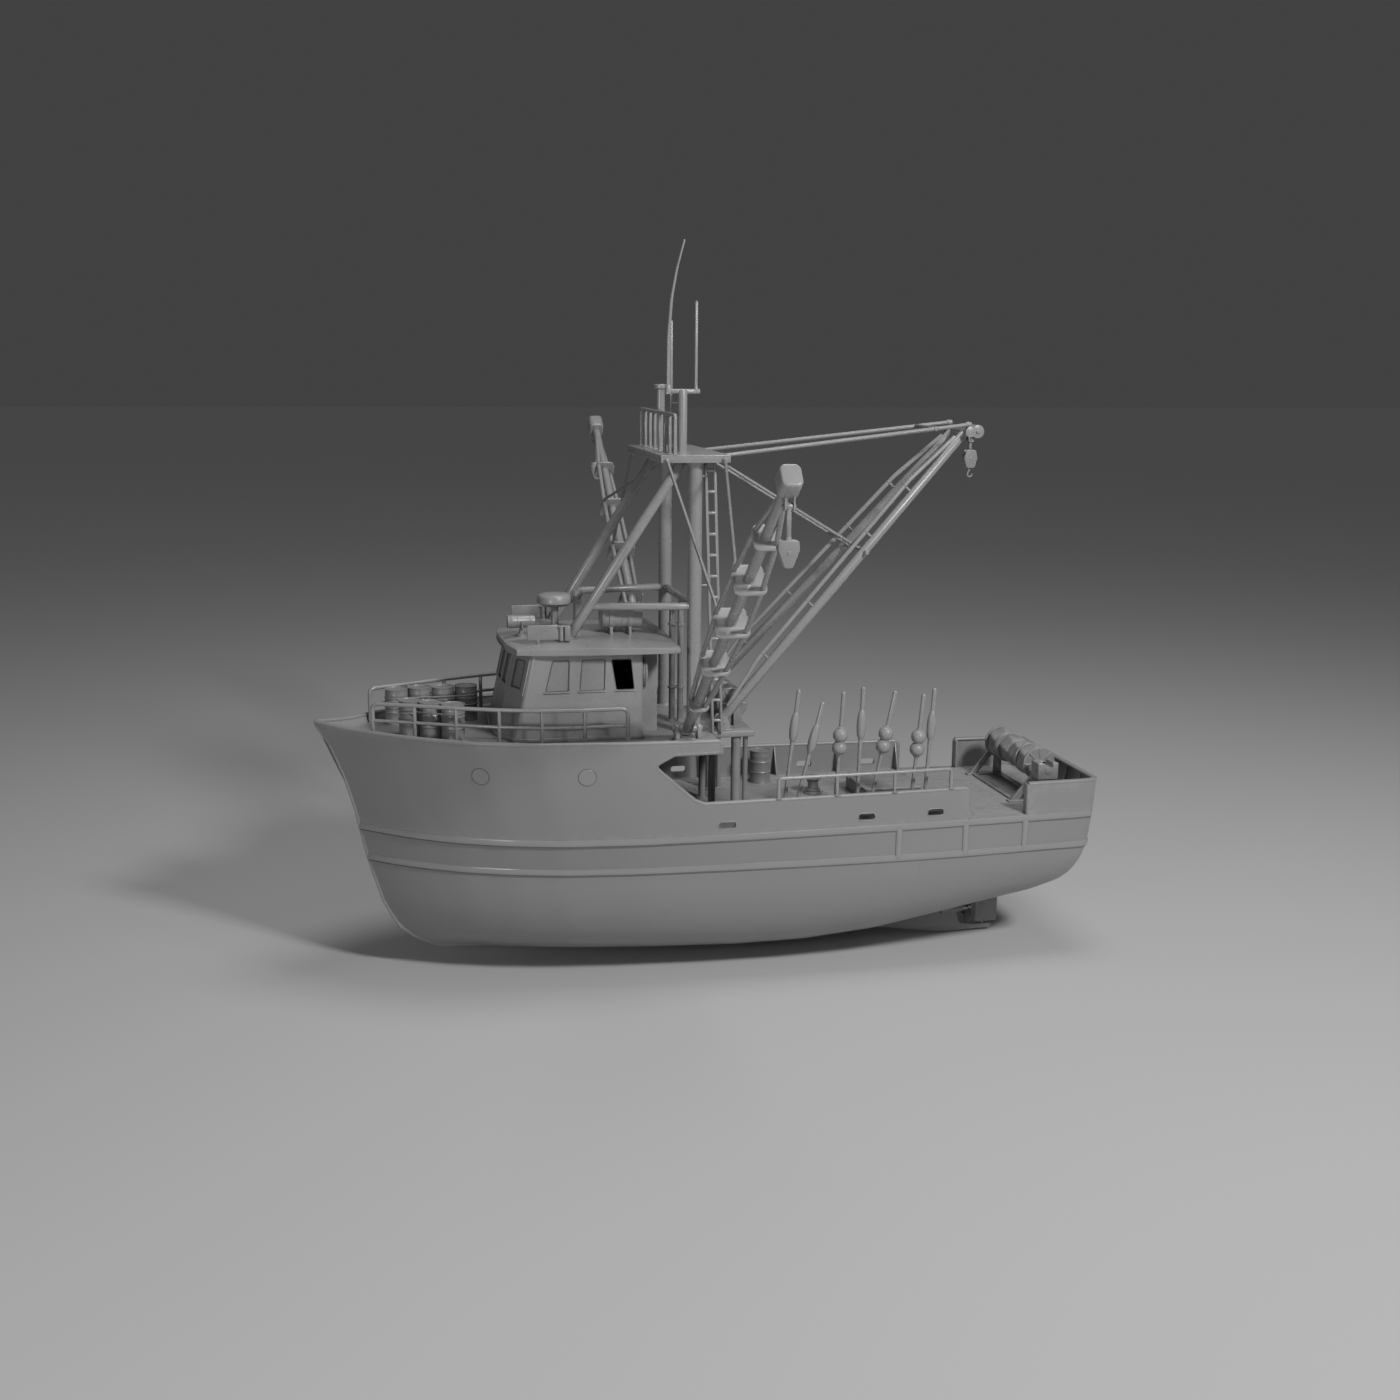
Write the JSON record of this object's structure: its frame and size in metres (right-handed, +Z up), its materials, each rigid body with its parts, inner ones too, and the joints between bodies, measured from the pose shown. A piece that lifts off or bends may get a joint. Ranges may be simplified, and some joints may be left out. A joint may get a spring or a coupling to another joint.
{
  "type": "fishing boat",
  "caption": "Steel fishing boat with a forward wheelhouse, a mast with a platform, a luffing boom, spreading outriggers, a deck winch and a stern net drum",
  "frame": {"origin": "amidships on the centre line at the waterline", "axes": "+X forward, +Y to port, +Z up"},
  "size_m": [19.5691, 22.448, 17.8863],
  "materials": {
    "hull_paint": "satin",
    "deck_paint": "matte, worn",
    "house_paint": "satin",
    "rig_paint": "satin",
    "rope": "twisted wire",
    "gear_paint": "satin",
    "bare_steel": "machined",
    "float_plastic": "satin"
  },
  "bodies": {
    "boat": {"antennas": "rig_paint", "boom_bracket_port": "rig_paint", "boom_bracket_starboard": "rig_paint", "boom_table": "deck_paint", "bulwark_bow": "hull_paint", "bulwark_port": "hull_paint", "bulwark_starboard": "hull_paint", "bulwark_stern": "hull_paint", "buoy_rack": "float_plastic", "capped_post": "rig_paint", "capstan_base": "gear_paint", "companionway": "house_paint", "deck_drum": "gear_paint", "drums_port": "gear_paint", "drums_starboard": "gear_paint", "exhaust_pipes": "rig_paint", "fore_rail_port": "rig_paint", "fore_rail_starboard": "rig_paint", "forecastle": "hull_paint", "hatch_coaming": "deck_paint", "hull": "hull_paint", "life_raft": "float_plastic", "lifebuoy": "float_plastic", "main_rail_port": "rig_paint", "mast": "rig_paint", "mast_ladder": "rig_paint", "mast_platform": "rig_paint", "mid_stays": "rope", "net_drum_stand": "gear_paint", "outrigger_bracket_port": "rig_paint", "outrigger_bracket_starboard": "rig_paint", "radome": "float_plastic", "rubbing_strakes": "hull_paint", "searchlight": "gear_paint", "shelter_deck": "deck_paint", "sidelight_port": "gear_paint", "sidelight_starboard": "gear_paint", "stay_port_aft": "rope", "stay_port_fore": "rope", "stay_starboard_aft": "rope", "stay_starboard_fore": "rope", "topping_lifts": "rope", "vent_pipe": "rig_paint", "wheelhouse": "house_paint", "wheelhouse_roof": "house_paint"},
    "companionway_door": {"companionway_door": "house_paint"},
    "outrigger_port": {"outrigger_port": "rig_paint"},
    "outrigger_starboard": {"outrigger_starboard": "rig_paint"},
    "outrigger_block_port": {"outrigger_block_port": "gear_paint"},
    "outrigger_block_starboard": {"outrigger_block_starboard": "gear_paint"},
    "boom": {"boom": "rig_paint"},
    "hook_block": {"hook_block": "gear_paint"},
    "winch_drum": {"winch_drum": "gear_paint"},
    "net_drum": {"net_drum": "gear_paint"},
    "capstan_head": {"capstan_head": "gear_paint"},
    "hatch_lid": {"hatch_lid": "deck_paint"},
    "propeller": {"propeller": "bare_steel"},
    "rudder": {"rudder": "hull_paint"}
  },
  "joints": [
    {"name": "boom_luff", "type": "hinge", "parent": "boat", "child": "boom", "pos_m": [-0.15, 0, 3.98], "axis": [0, 1, 0], "range_deg": [-25, 15], "deforming": ["topping_lifts", "mid_stays"]},
    {"name": "hook_swing", "type": "hinge", "parent": "boom", "child": "hook_block", "pos_m": [-6.93, 0, 10.76], "axis": [0, 1, 0], "range_deg": [-15, 25]},
    {"name": "outrigger_port_lift", "type": "hinge", "parent": "boat", "child": "outrigger_port", "pos_m": [0.93, 2.3, 4.02], "axis": [1, 0, 0], "range_deg": [-17, 40], "deforming": ["stay_port_fore", "stay_port_aft"]},
    {"name": "outrigger_starboard_lift", "type": "hinge", "parent": "boat", "child": "outrigger_starboard", "pos_m": [0.93, -2.3, 4.02], "axis": [-1, 0, 0], "range_deg": [-17, 40], "deforming": ["stay_starboard_fore", "stay_starboard_aft"]},
    {"name": "outrigger_block_port_swing", "type": "hinge", "parent": "outrigger_port", "child": "outrigger_block_port", "pos_m": [0.94, 10.83, 10.13], "axis": [1, 0, 0], "range_deg": [-40, 17]},
    {"name": "outrigger_block_starboard_swing", "type": "hinge", "parent": "outrigger_starboard", "child": "outrigger_block_starboard", "pos_m": [0.94, -10.83, 10.13], "axis": [-1, 0, 0], "range_deg": [-40, 17]},
    {"name": "companionway_door_swing", "type": "hinge", "parent": "boat", "child": "companionway_door", "pos_m": [1.405, -0.87, 4.6], "axis": [0, 0, 1], "range_deg": [0, 110]},
    {"name": "hatch_lid_lift", "type": "hinge", "parent": "boat", "child": "hatch_lid", "pos_m": [-4.06, 0, 1.87], "axis": [0, 1, 0], "range_deg": [0, 95]},
    {"name": "winch_drum_spin", "type": "hinge", "parent": "boat", "child": "winch_drum", "pos_m": [-0.55, 0, 4.27], "axis": [0, 1, 0], "continuous": true},
    {"name": "net_drum_spin", "type": "hinge", "parent": "boat", "child": "net_drum", "pos_m": [-8.72, 0, 2.44], "axis": [0, 1, 0], "continuous": true},
    {"name": "capstan_spin", "type": "hinge", "parent": "boat", "child": "capstan_head", "pos_m": [-3.08, -0.43, 1.7], "axis": [0, 0, 1], "continuous": true},
    {"name": "propeller_spin", "type": "hinge", "parent": "boat", "child": "propeller", "pos_m": [-7.36, 0, -1.78], "axis": [1, 0, 0], "continuous": true},
    {"name": "rudder_turn", "type": "hinge", "parent": "boat", "child": "rudder", "pos_m": [-7.82, 0, -1.75], "axis": [0, 0, 1], "range_deg": [-35, 35]}
  ],
  "couplings": [
    {"joint": "hook_swing", "follows": "boom_luff", "ratio": -1},
    {"joint": "outrigger_block_port_swing", "follows": "outrigger_port_lift", "ratio": -1},
    {"joint": "outrigger_block_starboard_swing", "follows": "outrigger_starboard_lift", "ratio": -1}
  ]
}
